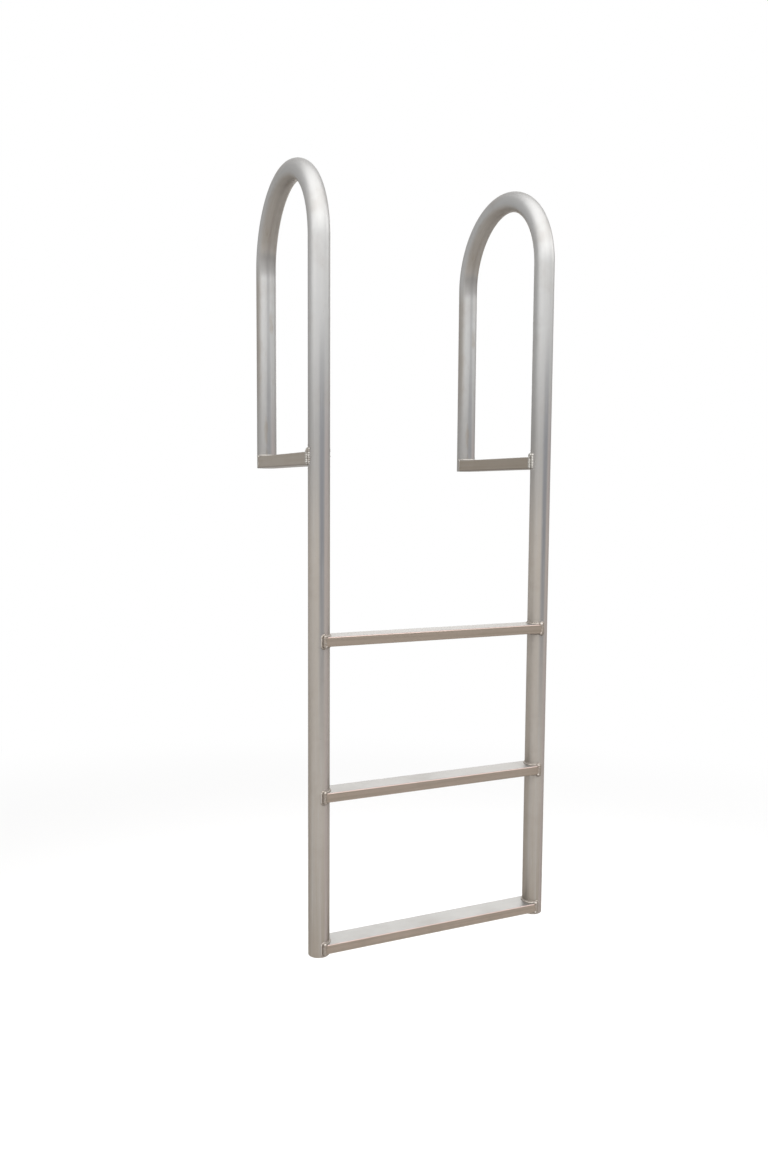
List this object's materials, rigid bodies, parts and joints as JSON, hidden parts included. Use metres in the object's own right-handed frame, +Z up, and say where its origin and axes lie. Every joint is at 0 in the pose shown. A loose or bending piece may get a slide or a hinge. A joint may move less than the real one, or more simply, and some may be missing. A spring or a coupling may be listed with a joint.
{
  "type": "dock ladder",
  "caption": "Straight welded aluminium dock ladder: tube rails that bend over into hoop handholds, flat treads between them, and brackets that bolt to the dock's deck.",
  "frame": {"origin": "on the underside of the left bracket, at its middle: the level of the dock's deck", "axes": "+X along the treads to the right rail, +Y from the water towards the dock, +Z up"},
  "size_m": [0.5505, 0.37, 1.5647],
  "materials": {
    "tube": "satin mill finish, drawn along the tube",
    "tread": "satin mill finish, brushed along the tread",
    "bracket": "dull mill finish",
    "weld": "rippled weld bead, left as laid"
  },
  "bodies": {
    "root": {"bottom_tread": "tread", "bottom_tread_left_weld": "weld", "bottom_tread_right_weld": "weld", "left_bracket": "bracket", "left_bracket_leg_weld": "weld", "left_bracket_rail_weld": "weld", "left_rail": "tube", "middle_tread": "tread", "middle_tread_left_weld": "weld", "middle_tread_right_weld": "weld", "right_bracket": "bracket", "right_bracket_leg_weld": "weld", "right_bracket_rail_weld": "weld", "right_rail": "tube", "top_tread": "tread", "top_tread_left_weld": "weld", "top_tread_right_weld": "weld"}
  },
  "joints": []
}
